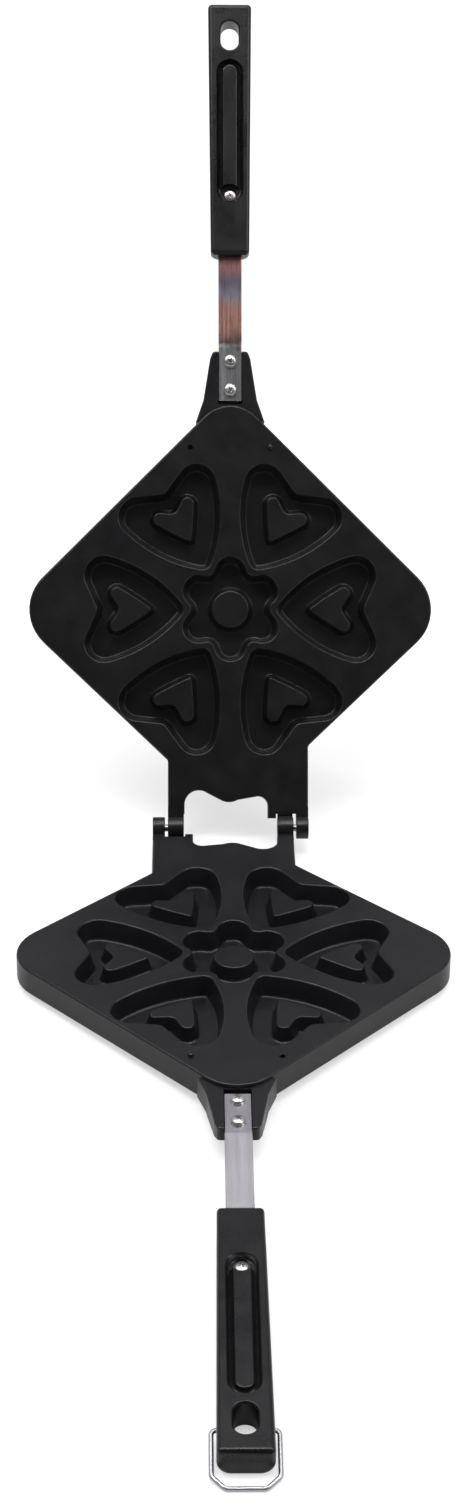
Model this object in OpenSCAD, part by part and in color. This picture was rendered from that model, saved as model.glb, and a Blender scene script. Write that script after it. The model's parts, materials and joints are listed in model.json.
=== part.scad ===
// Stovetop waffle iron: two hinged cast plates with heart moulds, on long handles.
// Each half is one casting, a steel tang and a moulded handle. The upper half is the
// lower one turned half a turn about its length, then swung open about the hinge axis.
// Half frame: X along the hinge axis, -Y out to the handle, Z = 0 in the parting plane.

/* [Moulds] */
// Radius of the ring that the twelve heart lobes are centred on
lobe_ring = 75.8; // [72:0.2:84]
// Radius of a heart's lobe
lobe_r = 11.1; // [9:0.1:12]
// Radius of a heart's bulging side
side_r = 80; // [70:5:140]
// Distance from the flower's middle to a heart's tip
tip_at = 27.4; // [26:0.1:32]
// Radius at a heart's tip
tip_r = 5; // [4.5:0.1:6]
// Depth of the valley between a heart's lobes
valley_depth = 7.2; // [5:0.1:9]
// Radius at the bottom of that valley
valley_r = 5; // [4:0.1:7]
// How much smaller the ring of lobes of the raised hearts is
core_inset = 9.3; // [8:0.1:11]
// Radius of a raised heart's lobe
core_r = 3.9; // [3:0.1:5]
// Distance from the flower's middle to a raised heart's tip
core_tip_at = 46; // [44:0.1:50]
// Depth of the moulds below the deck
mould_depth = 11.5; // [8:0.5:14]
// How much narrower a mould is at its floor, on each side
draft = 2.4; // [1:0.1:3]
// How far the raised middles stay below the deck
core_drop = 3.2; // [1:0.1:5]
// Radius of the ring that the flower's petals are centred on
petal_ring = 21.2; // [20:0.1:23]
// Radius of a petal
petal_r = 9; // [8:0.1:9.5]
// Radius of the flower's raised middle
flower_core_r = 10.8; // [8:0.1:13]

/* [Plates] */
// Land between the outermost lobes and the plate's edge
land = 3.3; // [3:0.1:20]
// Distance from the hinge axis to the point where the rear edges would meet
neck = 5; // [4:0.5:20]
// Corner radius at the sides
side_corner_r = 26.5; // [15:0.5:35]
// Corner radius at the handle
front_corner_r = 21; // [15:0.5:24]
// Wall of the deck, skirt and mould cups
wall = 3.5; // [2.5:0.5:5]
// Play between the closed decks
deck_gap = 0.3; // [0.1:0.1:1]
// Angle that the plates open to
open_angle = 121.6; // [95:0.1:150]
// Radius of the locating pin
locator_r = 1.4; // [1:0.1:2]
// Distance of the locating pin and hole from the centre line
locator_x = 23.2; // [20:0.1:26]
// Distance of the locating pin and hole from the plate's edge
locator_inset = 7.1; // [5:0.1:12]

/* [Hinge] */
// Outer radius of a hinge barrel
barrel_r = 6.3; // [5:0.1:8]
// Radius of a hinge pin
hinge_pin_r = 2; // [1.5:0.1:3]
// Distance from the centre line to the inner barrel's near face
inner_barrel_x = 27; // [24:0.5:32]
// Length of an inner barrel
inner_barrel_len = 9.2; // [7:0.1:12]
// Length of an outer barrel
outer_barrel_len = 7; // [6:0.1:10]
// Gap between the two barrels of one side
barrel_gap = 1.7; // [0.5:0.1:3]
// Gap between a barrel and the wall that the stop nose meets
notch_gap = 1.9; // [1.5:0.1:4]
// Depth of the finger cut-out from the hinge axis, at its middle
cutout_depth = 15; // [12:0.5:20]

/* [Boss and tang] */
// Width of a tang
tang_w = 13.6; // [10:0.1:18]
// Thickness of a tang
tang_t = 2.5; // [2:0.1:4]
// Depth of the tang's face below the parting plane
tang_depth = 3; // [2.5:0.1:5]
// How far the tang's near end lies inside the point where the front edges would meet
tang_inset = 5.8; // [0:0.1:6]
// How far the boss reaches beyond the point where the front edges would meet
boss_len = 23.2; // [21:0.1:40]
// Length of tang between the boss and the handle
tang_free = 57.2; // [45:0.1:120]
// Width of the boss at its end
boss_end_w = 22.6; // [20:0.1:30]
// Width of the boss where it meets the plate
boss_root_w = 40; // [34:1:50]
// Thickness of the boss at its end
boss_end_t = 7; // [6:0.5:9]
// Distance from the tang's near end to its first screw
screw_inset = 6.3; // [5:0.1:9]
// Spacing of the two tang screws
screw_pitch = 16.8; // [12:0.1:17]
// Radius of a screw's shank
screw_r = 1.9; // [1.5:0.1:2]
// Radius of a screw's head
head_r = 3.4; // [3:0.1:3.7]
// Height of a screw's head
head_h = 1.9; // [1.5:0.1:2]
// Angle of the tang between boss and handle
tang_angle = 6; // [4:0.5:8]

/* [Handle] */
// Length of a handle
handle_len = 150.5; // [125:0.5:190]
// Depth of the handle's face below the parting plane, at its near end
handle_depth = 3.5; // [1:0.1:6]
// Angle between the handle and the parting plane
handle_angle = 3.24; // [2:0.01:4.5]
// Width of the handle at its near end
handle_near_w = 22.5; // [20:0.1:30]
// Width of the handle at its far end
handle_far_w = 25.4; // [22:0.1:34]
// Thickness of the handle
handle_t = 15; // [14:0.1:22]
// Corner radius on the handle's outer side
handle_round = 6; // [3:0.5:7]
// Distance from the handle's near end to the middle of its screw
handle_screw = 36; // [30:0.5:45]
// Length of the tang inside the handle
tang_inside = 52; // [42:1:60]
// Width of the long recess in the handle's face
recess_w = 15.5; // [10:0.1:17]
// Length of the recess
recess_len = 86; // [70:1:90]
// Distance from the handle's near end to the recess
recess_at = 31.3; // [26:0.1:34]
// Depth of the recess
recess_depth = 2.6; // [1:0.1:3]
// Width of the hanging hole
hang_w = 10.8; // [6:0.1:12]
// Length of the hanging hole
hang_len = 17.5; // [13:0.1:20]
// Distance from the handle's far end to the hanging hole
hang_inset = 10.3; // [8:0.1:14]

/* [Bail] */
// Radius of the bail's wire
wire_r = 1.1; // [0.8:0.05:1.3]
// Reach of the bail from its pivot to the middle of its end bar
bail_reach = 29; // [25:0.5:30]
// Distance from the handle's far end to the bail's pivot
bail_inset = 20.2; // [17:0.1:21]
// Depth of the bail's pivot below the handle's face
bail_depth = 9.4; // [8.6:0.1:11]
// Clearance between the bail's legs and the handle's sides
bail_play = 1; // [0.5:0.1:2]
// Size of the bevelled corners of the bail
bail_bevel = 6; // [4:0.5:8]
// Depth of the bail's pivot holes
bail_hole = 5.5; // [3:0.1:6]

/* [Fits] */
// Radial play of a hinge pin or bail end in the hole it turns in
running_play = 0.06; // [0.02:0.01:0.1]
// Play round a screw, a tang or a locating pin
loose_play = 0.2; // [0.1:0.05:0.4]
// Gap left where a piece rests
rest_gap = 0.1; // [0.05:0.05:0.3]

/* [Hidden] */
$fn = 64;
eps = 0.01;

// Moulds: each heart as [lobe centre, lobe radius, side radius, distance to the tip, tip
// radius, valley depth, valley radius]
heart_rim = [
    lobe_ring * [cos(15), sin(15)], lobe_r, side_r, tip_at, tip_r, valley_depth, valley_r
];
core_turn = 8;
core_rim = [
    (lobe_ring - core_inset) * [cos(core_turn), sin(core_turn)], core_r, 200, core_tip_at,
    1.5, core_r + 0.8, 4
];
// Slope of the raised middles' sides, and the rounding round the floor
core_draft = 1.6;
fillet = 1.4;
plate_t = mould_depth + wall;
deck_z = -deck_gap / 2;

// Plate outline: a square on its corner. Its rear edges slope a little less than its
// front ones, so that it is pulled out on the handle side.
rear_slope = 0.946;
mitre = 1.42;
edge_offset = lobe_ring + lobe_r + land;
side_x = edge_offset * mitre;
side_y = neck + side_x * rear_slope;
mould_y = side_y + 0.8;
front_y = side_y + side_x;
locator_y = front_y - locator_x - mitre * locator_inset;
tang_y = front_y - tang_inset;
boss_y = front_y + boss_len;
handle_y = boss_y + tang_free;

// Hinge stations along the axis, for the half frame
inner_end = inner_barrel_x + inner_barrel_len;
outer_start = inner_end + barrel_gap;
outer_end = outer_start + outer_barrel_len;
block_left = -outer_end;
block_right = inner_end;
stop_wall = barrel_r + notch_gap;
block_reach = neck + (inner_end - 1) * rear_slope;
block_depth = neck + outer_end * rear_slope + 1;
shoulder_w = 4.6;
shoulder_y = 5.6;
shoulder_x = -(inner_barrel_x - 0.7);

// Tang and handle
tang_bend = boss_y + 2.5;
tang_kink = handle_y - 5;
kink_depth = tang_depth + (tang_kink - tang_bend) * tan(tang_angle);
socket_depth = (kink_depth + (handle_y - tang_kink) * tan(handle_angle) - handle_depth)
    * cos(handle_angle);
boss_floor = tang_depth + tang_t;
boss_top = 2 - deck_z;
boss_underside = boss_top + boss_end_t;
washer_t = 0.8;
washer_r = head_r + 0.4;
// The tang screws end just inside the boss's underside
screw_seat = tang_depth - washer_t;
screw_shank = boss_underside - 0.25 - screw_seat;

// Bail
function handle_width(at) = handle_near_w + (handle_far_w - handle_near_w) * at / handle_len;
bail_at = handle_len - bail_inset;
bail_half = handle_width(handle_len) / 2 + bail_play + wire_r;

// Place in the half frame, as [distance from the hinge axis, depth], of a point on the
// handle that lies `along` from its near end and `deep` below its face
function on_handle(along, deep) = [
    handle_y + along * cos(handle_angle) - deep * sin(handle_angle),
    handle_depth + along * sin(handle_angle) + deep * cos(handle_angle)
];

// Stance: the iron stands on the plate's rim by the hinge and on the handle's far end
rim_point = [shoulder_y, plate_t];
heel_point = on_handle(handle_len - 1.5, handle_t);
stance = atan((heel_point.y - rim_point.y) / (heel_point.x - rim_point.x));
function stood(p) = [
    -p.x * cos(stance) - p.y * sin(stance),
    p.x * sin(stance) - p.y * cos(stance)
];
function opened(p) = [
    p.x * cos(open_angle) - p.y * sin(open_angle),
    -p.x * sin(open_angle) - p.y * cos(open_angle)
];
hinge_height = -stood(rim_point).y;
bail_pivot = on_handle(bail_at, bail_depth);
bail_drop = asin((stood(bail_pivot).y + hinge_height - wire_r - rest_gap) / bail_reach);
front_end = stood(bail_pivot).x - bail_reach * cos(bail_drop) - wire_r;
back_end = stood(opened(on_handle(handle_len, handle_t))).x;
hinge_y = -(front_end + back_end) / 2;

// Points on an arc from angle a to angle b
function arc(c, r, a, b, n) =
    [for (i = [0:n]) c + r * [cos(a + (b - a) * i / n), sin(a + (b - a) * i / n)]];

// Points that round the corner b between a and c
function corner(a, b, c, r, n) =
    let (
        u = (a - b) / norm(a - b),
        v = (c - b) / norm(c - b),
        half = acos(u * v) / 2,
        m = b + (u + v) / norm(u + v) * r / sin(half),
        start = atan2((b + u * r / tan(half) - m).y, (b + u * r / tan(half) - m).x),
        stop = atan2((b + v * r / tan(half) - m).y, (b + v * r / tan(half) - m).x),
        sweep = stop - start,
        turn = sweep > 180 ? sweep - 360 : sweep < -180 ? sweep + 360 : sweep
    )
    arc(m, r, start, start + turn, n);

// The same arc without its ends, for a stretch between two others that meet it
function inner_arc(c, r, a, b, n) = [for (i = [1:n - 1]) arc(c, r, a, b, n)[i]];

// Heart with its tip towards the origin: two lobes, a soft valley between them, bulging
// sides and a round tip. Inset moves the whole outline in by that much, or out when it
// is negative.
function heart(shape, inset) =
    let (
        lobe = shape[0],
        r = shape[1],
        bulge = shape[2],
        tip_round = shape[4],
        tip = [shape[3] + tip_round, 0],
        span = lobe - tip,
        unit = span / norm(span),
        along = (pow(bulge - tip_round, 2) - pow(bulge - r, 2) + span * span) / 2 / norm(span),
        across = sqrt(pow(bulge - tip_round, 2) - along * along),
        middle = tip + along * unit + across * [unit.y, -unit.x],
        at_lobe = atan2(lobe.y - middle.y, lobe.x - middle.x),
        at_tip = atan2(tip.y - middle.y, tip.x - middle.x),
        notch = [lobe.x + r - shape[5] + shape[6], 0],
        drop = notch - lobe,
        meet = atan2(drop.y, drop.x) + acos((r + shape[6]) / norm(drop))
    )
    concat(
        arc(tip, tip_round - inset, at_tip, 360 - at_tip, 4),
        inner_arc([middle.x, -middle.y], bulge - inset, -at_tip, -at_lobe, 4),
        arc([lobe.x, -lobe.y], r - inset, -at_lobe, -meet, 8),
        arc(notch, shape[6] + inset, 180 - meet, 180 + meet, 3),
        arc(lobe, r - inset, meet, at_lobe, 8),
        inner_arc(middle, bulge - inset, at_lobe, at_tip, 4)
    );

// Flower of six petals, with soft notches between them
function flower(inset) =
    let (
        gap = petal_ring / 2,
        notch_r = petal_r * 0.55,
        out = petal_ring * cos(30) + sqrt(pow(petal_r + notch_r, 2) - gap * gap),
        meet = atan2(gap, out - petal_ring * cos(30))
    )
    [for (k = [0:5]) let (t = 60 * k) each concat(
        arc(out * [cos(t), sin(t)], notch_r + inset, t + 180 + meet * 0.6, t + 180 - meet * 0.6, 2),
        arc(petal_ring * [cos(t + 30), sin(t + 30)], petal_r - inset, t - meet, t + 60 + meet, 8)
    )];

// Outline of a plate, drawn inset from its edge. The corner at the hinge is left off
// where the hinge block takes its place.
module plate_outline(inset) {
    slack = inset * mitre;
    side = [side_x - slack, -side_y];
    front = [0, -(front_y - slack)];
    back = [(block_reach - neck - slack) / rear_slope, -block_reach];
    other_side = [-side.x, side.y];
    polygon(concat(
        [[-back.x, back.y], back],
        corner(back, side, front, side_corner_r - inset, 16),
        corner(side, front, other_side, front_corner_r - inset, 12),
        corner(front, other_side, [-back.x, back.y], side_corner_r - inset, 16)
    ));
}

// Hinge block with its finger cut-out and the notch for the other plate's barrel
module block_outline() {
    left_r = 5.7;
    floor_r = 10;
    right_r = 8.3;
    difference() {
        translate([block_left, -block_depth])
            square([block_right - block_left, block_depth - stop_wall]);
        polygon(concat(
            [[shoulder_x + shoulder_w, -stop_wall + 1]],
            arc([11 - inner_barrel_x, -cutout_depth + 2.3], left_r, 180, 270, 5),
            arc([0.7, -cutout_depth - floor_r], floor_r, 120, 60, 5),
            arc([inner_barrel_x - 8.5, -cutout_depth + 1.4], right_r, 235, 360, 8),
            [[inner_barrel_x - 0.4, -stop_wall + 1]]
        ));
    }
    translate([shoulder_x, -cutout_depth - 3])
        square([shoulder_w, cutout_depth + 3 - shoulder_y]);
}

// Places its child at each of the six hearts and turns it to face the middle
module at_hearts() {
    for (k = [0:5]) translate([0, -mould_y]) rotate(60 * k) children();
}

// Solid skinned over outlines of equal point counts, given as [points, height] from
// the top one down to the raised middle's own top
module skinned(rings) {
    n = len(rings[0][0]);
    last = len(rings) - 1;
    polyhedron(
        points = [for (ring = rings) each [for (p = ring[0]) [p.x, p.y, ring[1]]]],
        faces = concat(
            [[for (i = [0:n - 1]) n - 1 - i]],
            [for (k = [0:last - 1]) each [for (i = [0:n - 1]) let (j = (i + 1) % n)
                [k * n + i, k * n + j, (k + 1) * n + j, (k + 1) * n + i]]],
            [[for (i = [0:n - 1]) last * n + i]]
        )
    );
}

// The space of one mould, from just above the deck to its floor and up the middle
module heart_mould() {
    skinned([
        [heart(heart_rim, 0), 1],
        [heart(heart_rim, 0), 0],
        [heart(heart_rim, draft), fillet - mould_depth],
        [heart(heart_rim, draft + fillet), -mould_depth],
        [heart(core_rim, -core_draft - fillet), -mould_depth],
        [heart(core_rim, -core_draft), fillet - mould_depth],
        [heart(core_rim, 0), -core_drop]
    ]);
}

module flower_mould() {
    count = len(flower(0));
    skinned([
        [flower(0), 1],
        [flower(0), 0],
        [flower(draft), fillet - mould_depth],
        [flower(draft + fillet), -mould_depth],
        for (step = [[core_draft + fillet, -mould_depth], [core_draft, fillet - mould_depth],
            [0, -core_drop]])
            [[for (p = flower(0)) (flower_core_r + step[0]) * p / norm(p)], step[1]]
    ]);
}

// Boss that carries the tang, seen from the side
module boss_side() {
    root = front_y - boss_root_w / 2 - 12;
    polygon([
        [-root, -boss_top], [-boss_y, -boss_top],
        [-boss_y, -boss_underside], [-front_y + 8, -plate_t], [-root, -plate_t]
    ]);
}

module boss() {
    root = front_y - boss_root_w / 2;
    slope = (boss_root_w - boss_end_w) / 2 / (boss_y - root);
    intersection() {
        rotate([90, 0, 90]) translate([0, 0, -boss_root_w])
            linear_extrude(2 * boss_root_w) boss_side();
        translate([0, 0, -plate_t - 1]) linear_extrude(plate_t + 1) polygon([
            [-boss_root_w / 2 - 12 * slope, -root + 12],
            [-boss_end_w / 2 - 1.2 * slope, -boss_y + 1.2],
            [-boss_end_w / 2 + 1, -boss_y],
            [boss_end_w / 2 - 1, -boss_y],
            [boss_end_w / 2 + 1.2 * slope, -boss_y + 1.2],
            [boss_root_w / 2 + 12 * slope, -root + 12]
        ]);
    }
}

module barrel(x, len) {
    translate([x, 0, 0]) rotate([0, 90, 0]) cylinder(h = len, r = barrel_r);
    // Arm from the barrel to the block
    translate([x, -stop_wall - 4, -barrel_r])
        cube([len, stop_wall + 4, barrel_r + deck_z]);
}

// Nose on the inner barrel that meets the other plate's stop wall when open
module stop_nose() {
    reach = stop_wall - rest_gap;
    rotate([-open_angle, 0, 0]) rotate([0, 180, 0])
        translate([-inner_end + 0.3, 0, 0]) rotate([90, 0, 90])
            linear_extrude(inner_barrel_len - 0.6)
                polygon([[0, 0], [-reach, -3], [-reach, -9], [0, -barrel_r + 0.1]]);
}

// One casting: lower plate as it lies, and the upper one before it is turned over
module casting() {
    difference() {
        union() {
            difference() {
                translate([0, 0, -plate_t]) linear_extrude(plate_t + deck_z) union() {
                    plate_outline(0);
                    block_outline();
                }
                // Space under the deck, inside the skirt and round the mould cups
                translate([0, 0, -plate_t - 1])
                    linear_extrude(plate_t + 1 + deck_z - wall) difference() {
                        union() {
                            plate_outline(wall);
                            translate([block_left + wall, -block_depth])
                                square([block_right - block_left - 2 * wall,
                                    block_depth - cutout_depth - 7 - wall]);
                        }
                        at_hearts() polygon(heart(heart_rim, -wall * 0.4));
                        translate([0, -mould_y]) polygon(flower(-wall * 0.4));
                        translate([0, -front_y + 8]) circle(r = boss_root_w / 2);
                        translate([-locator_x, -locator_y]) circle(r = locator_r + wall);
                        translate([locator_x, -locator_y]) circle(r = locator_r + wall);
                    }
            }
            boss();
            barrel(-outer_end, outer_barrel_len);
            barrel(inner_barrel_x, inner_barrel_len);
            stop_nose();
            translate([-locator_x, -locator_y, deck_z - 1]) cylinder(h = 3, r = locator_r);
        }
        translate([0, 0, deck_z]) {
            at_hearts() heart_mould();
            translate([0, -mould_y]) flower_mould();
        }
        translate([locator_x, -locator_y, deck_z - 2.8])
            cylinder(h = 4, r = locator_r + loose_play);
        // Bores: tight for the pin in the outer barrel, running in the inner one
        translate([-outer_end - 1, 0, 0]) rotate([0, 90, 0])
            cylinder(h = outer_barrel_len + 2, r = hinge_pin_r);
        translate([inner_barrel_x - 1, 0, 0]) rotate([0, 90, 0])
            cylinder(h = inner_barrel_len + 2, r = hinge_pin_r + running_play);
        // Slot for the tang and its screw holes
        translate([-tang_w / 2 - loose_play, -boss_y - 1, -boss_floor])
            cube([tang_w + 2 * loose_play, boss_y + 1 - tang_y + 2.2, boss_floor + 1]);
        for (k = [0, 1]) translate([0, -tang_y - screw_inset - k * screw_pitch, -plate_t - 1])
            cylinder(h = plate_t, r = screw_r + 0.05);
    }
}

module hinge_pin() {
    translate([-outer_end + rest_gap, 0, 0]) rotate([0, 90, 0])
        cylinder(h = outer_end - inner_barrel_x - 2 * rest_gap, r = hinge_pin_r);
}

// Side view of the tang: flat on the boss, bent outwards, then along the handle
function tang_path() = [
    [tang_y, tang_depth], [tang_bend, tang_depth], [tang_kink, kink_depth],
    on_handle(tang_inside, socket_depth)
];

function offset_path(p, t) =
    [for (i = [0:len(p) - 1])
        let (
            a = i > 0 ? p[i] - p[i - 1] : p[1] - p[0],
            b = i < len(p) - 1 ? p[i + 1] - p[i] : a,
            na = [-a.y, a.x] / norm(a),
            nb = [-b.y, b.x] / norm(b)
        )
        p[i] + t * (na + nb) / (1 + na * nb)];

module handle_frame() {
    translate([0, -handle_y, -handle_depth]) rotate([handle_angle, 0, 0]) children();
}

module tang() {
    top = tang_path();
    low = offset_path(top, tang_t);
    side = concat(top, [for (i = [len(low) - 1:-1:0]) low[i]]);
    difference() {
        translate([-tang_w / 2, 0, 0]) rotate([90, 0, 90]) linear_extrude(tang_w)
            polygon([for (p = side) [-p.x, -p.y]]);
        for (k = [0, 1]) translate([0, -tang_y - screw_inset - k * screw_pitch, -boss_floor - 1])
            cylinder(h = tang_t + 2, r = screw_r + loose_play);
        handle_frame() translate([0, -handle_screw, -socket_depth - tang_t - 1])
            cylinder(h = tang_t + 2, r = screw_r + loose_play);
    }
}

// Pan-head screw with its head's seat at the origin and a cross recess
module screw(shank) {
    difference() {
        union() {
            translate([0, 0, -shank]) cylinder(h = shank + eps, r = screw_r);
            cylinder(h = head_h * 0.55, r = head_r);
            translate([0, 0, head_h * 0.55]) cylinder(h = head_h * 0.45, r1 = head_r,
                r2 = head_r * 0.62);
        }
        for (a = [0, 90]) rotate(a) translate([-head_r * 0.5, -0.4, head_h * 0.45])
            cube([head_r, 0.8, head_h]);
    }
}

// Screws and washers on the tang: k = 0 near the plate, k = 1 at the boss's end
module tang_screw(k) {
    translate([0, -tang_y - screw_inset - k * screw_pitch, -screw_seat]) screw(screw_shank);
}

module washer(k) {
    translate([0, -tang_y - screw_inset - k * screw_pitch, -tang_depth]) difference() {
        cylinder(h = washer_t, r = washer_r);
        translate([0, 0, -1]) cylinder(h = washer_t + 2, r = screw_r + loose_play);
    }
}

module handle_screw() {
    handle_frame() translate([0, -handle_screw, -socket_depth]) screw(tang_t + 5);
}

// Cross-section of the handle: flat face up, round corners below
module handle_section(w, t) {
    face_r = 1.5;
    polygon(concat(
        corner([-w / 2, -t], [-w / 2, 0], [w / 2, 0], face_r, 3),
        corner([-w / 2, 0], [w / 2, 0], [w / 2, -t], face_r, 3),
        corner([w / 2, 0], [w / 2, -t], [-w / 2, -t], handle_round, 6),
        corner([w / 2, -t], [-w / 2, -t], [-w / 2, 0], handle_round, 6)
    ));
}

module handle_slice(at, shrink) {
    translate([0, -at, -shrink]) rotate([90, 0, 0]) linear_extrude(eps)
        handle_section(handle_width(at) - 2 * shrink, handle_t - 2 * shrink);
}

module slot(w, len) {
    translate([-w / 2, -len + w / 2]) square([w, len - w]);
    translate([0, -w / 2]) circle(d = w);
    translate([0, -len + w / 2]) circle(d = w);
}

module handle(with_bail) {
    edge = 1.5;
    difference() {
        hull() {
            handle_slice(0, edge);
            handle_slice(edge, 0);
            handle_slice(handle_len - edge, 0);
            handle_slice(handle_len - eps, edge);
        }
        // Long recess, with a rounded rib left standing along its middle
        difference() {
            translate([0, -recess_at, -recess_depth]) linear_extrude(recess_depth + 1)
                slot(recess_w, recess_len);
            rib();
        }
        // Well down to the tang for the screw, and the screw's hole
        translate([0, -handle_screw, -socket_depth - 1]) cylinder(h = handle_t, r = head_r + 0.6);
        translate([0, -handle_screw, -handle_t + 2]) cylinder(h = handle_t, r = screw_r + 0.05);
        // Socket for the tang
        translate([-tang_w / 2 - loose_play, -tang_inside - 0.5, -socket_depth - tang_t - 0.1])
            cube([tang_w + 2 * loose_play, tang_inside + 1, tang_t + 0.2]);
        translate([0, -handle_len + hang_inset + hang_len, -handle_t - 1])
            linear_extrude(handle_t + 2) slot(hang_w, hang_len);
        if (with_bail)
            for (side = [-1, 1])
                translate([side * (handle_width(bail_at) / 2 + 1), -bail_at, -bail_depth])
                    rotate([0, -90 * side, 0]) cylinder(h = bail_hole + 1,
                        r = wire_r + running_play);
    }
}

module rib() {
    rib_r = 4.5;
    rib_drop = rib_r + 0.4;
    start = handle_screw + 8 + rib_r;
    stop = recess_at + recess_len - 4 - rib_r;
    translate([0, 0, -rib_drop]) {
        translate([0, -start, 0]) rotate([90, 0, 0]) cylinder(h = stop - start, r = rib_r);
        translate([0, -start, 0]) sphere(rib_r);
        translate([0, -stop, 0]) sphere(rib_r);
    }
}

// Wire bail about its pivot: X along the pivot, -Y out to the end bar
module bail_shape() {
    inside = handle_width(bail_at) / 2 - bail_hole + 0.4;
    reach = bail_reach - bail_bevel;
    for (side = [-1, 1]) scale([side, 1, 1]) {
        translate([inside, 0, 0]) rotate([0, 90, 0]) cylinder(h = bail_half - inside, r = wire_r);
        translate([bail_half, 0, 0]) sphere(wire_r);
        translate([bail_half, 0, 0]) rotate([90, 0, 0]) cylinder(h = reach, r = wire_r);
        translate([bail_half, -reach, 0]) sphere(wire_r);
        translate([bail_half, -reach, 0]) rotate([90, 0, -45])
            cylinder(h = bail_bevel * sqrt(2), r = wire_r);
        translate([bail_half - bail_bevel, -bail_reach, 0]) sphere(wire_r);
    }
    translate([-bail_half + bail_bevel, -bail_reach, 0]) rotate([0, 90, 0])
        cylinder(h = 2 * (bail_half - bail_bevel), r = wire_r);
}

// Whole iron as it stands, with the hinge axis above the table
module standing() {
    translate([0, hinge_y, hinge_height]) rotate([-stance, 0, 0]) children();
}

module lower_half() {
    standing() children();
}

module upper_half() {
    standing() rotate([-open_angle, 0, 0]) rotate([0, 180, 0]) children();
}

module lower_plate() {
    color([0.17, 0.17, 0.19]) lower_half() casting();
}

module upper_plate() {
    color([0.14, 0.14, 0.15]) upper_half() casting();
}

module hinge_pin_left() {
    color("silver") lower_half() hinge_pin();
}

module hinge_pin_right() {
    color("silver") upper_half() hinge_pin();
}

module lower_tang() {
    color([0.78, 0.78, 0.8]) lower_half() tang();
}

module upper_tang() {
    color([0.66, 0.6, 0.56]) upper_half() tang();
}

module lower_handle() {
    color([0.12, 0.12, 0.12]) lower_half() handle_frame() handle(true);
}

module upper_handle() {
    color([0.09, 0.09, 0.09]) upper_half() handle_frame() handle(false);
}

module lower_tang_screw_inner() {
    color("silver") lower_half() tang_screw(0);
}

module upper_tang_screw_inner() {
    color("silver") upper_half() tang_screw(0);
}

module lower_tang_screw_outer() {
    color("silver") lower_half() tang_screw(1);
}

module upper_tang_screw_outer() {
    color("silver") upper_half() tang_screw(1);
}

module lower_washer_inner() {
    color("gray") lower_half() washer(0);
}

module upper_washer_inner() {
    color("gray") upper_half() washer(0);
}

module lower_washer_outer() {
    color("gray") lower_half() washer(1);
}

module upper_washer_outer() {
    color("gray") upper_half() washer(1);
}

module lower_handle_screw() {
    color("silver") lower_half() handle_screw();
}

module upper_handle_screw() {
    color("silver") upper_half() handle_screw();
}

module latch_bail() {
    color("silver") standing()
        translate([0, -bail_pivot.x, -bail_pivot.y])
            rotate([stance + bail_drop, 0, 0]) bail_shape();
}

lower_plate();
upper_plate();
hinge_pin_left();
hinge_pin_right();
lower_tang();
upper_tang();
lower_handle();
upper_handle();
lower_tang_screw_inner();
lower_tang_screw_outer();
upper_tang_screw_inner();
upper_tang_screw_outer();
lower_washer_inner();
lower_washer_outer();
upper_washer_inner();
upper_washer_outer();
lower_handle_screw();
upper_handle_screw();
latch_bail();
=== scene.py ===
import json
import math

import bmesh
import bpy
from mathutils import Matrix, Vector

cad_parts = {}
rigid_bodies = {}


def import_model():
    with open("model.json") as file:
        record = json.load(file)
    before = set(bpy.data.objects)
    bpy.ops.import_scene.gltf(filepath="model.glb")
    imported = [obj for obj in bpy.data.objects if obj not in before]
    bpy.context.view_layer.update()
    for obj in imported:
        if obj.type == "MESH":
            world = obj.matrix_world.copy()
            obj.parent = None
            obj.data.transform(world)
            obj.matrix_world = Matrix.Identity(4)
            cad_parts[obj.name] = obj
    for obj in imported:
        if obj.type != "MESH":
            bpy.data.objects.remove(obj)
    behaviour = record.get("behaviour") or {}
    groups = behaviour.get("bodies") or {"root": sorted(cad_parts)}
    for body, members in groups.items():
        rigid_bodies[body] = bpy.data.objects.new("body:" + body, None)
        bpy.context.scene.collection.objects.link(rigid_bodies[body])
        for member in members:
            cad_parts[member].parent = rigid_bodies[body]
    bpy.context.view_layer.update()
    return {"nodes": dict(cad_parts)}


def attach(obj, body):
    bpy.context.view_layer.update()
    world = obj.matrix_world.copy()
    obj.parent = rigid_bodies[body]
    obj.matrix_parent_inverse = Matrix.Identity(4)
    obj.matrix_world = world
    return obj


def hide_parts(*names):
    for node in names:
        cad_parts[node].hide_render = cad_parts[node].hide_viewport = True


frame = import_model()

# Sizes are in millimetres, in the frame of one half of the iron: X along the hinge axis,
# -Y out to the handle, Z = 0 in the parting plane. Most of them are the CAD part's own.
MM = 0.001

# How the iron stands: tilt of the lower half, angle between the halves, place of the hinge axis
STANCE = 1.42887
OPEN_ANGLE = 121.6
HINGE_Y = 103.887
HINGE_Z = 14.8557

# Plate. Its rear sides lie on lines of NECK_SLOPE from a point NECK out on the middle line.
DECK = -0.15
PLATE_T = 15.0
WALL = 3.5
SIDE_X = 128.084
SIDE_Y = 126.167
SIDE_R = 26.5
FRONT_Y = 254.251
FRONT_R = 21
NECK = 5.0
NECK_SLOPE = 0.946
NECK_R = 3
DECK_EDGE = 1.2
FOOT_EDGE = 0.8

# Hinge block, with an inner barrel, an outer one on the other side and a cut-out between them.
# The other half's nose stops against its wall, which is STOP_WALL out.
BARREL_R = 6.3
BARREL_EDGE = 0.5
INNER_X = 27.0
INNER_END = 36.2
OUTER_START = 37.9
OUTER_END = 44.9
OUTER_BORE_R = 2.02
INNER_BORE_R = 2.06
STOP_WALL = 8.2
STOP_GAP = 0.1
NOSE_TOP = 3
NOSE_FOOT = 9
NOSE_GAP = 0.3
ARM_ROOT = 4
CUTOUT = 15.0
CUTOUT_END_X = INNER_X - 0.4
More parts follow.
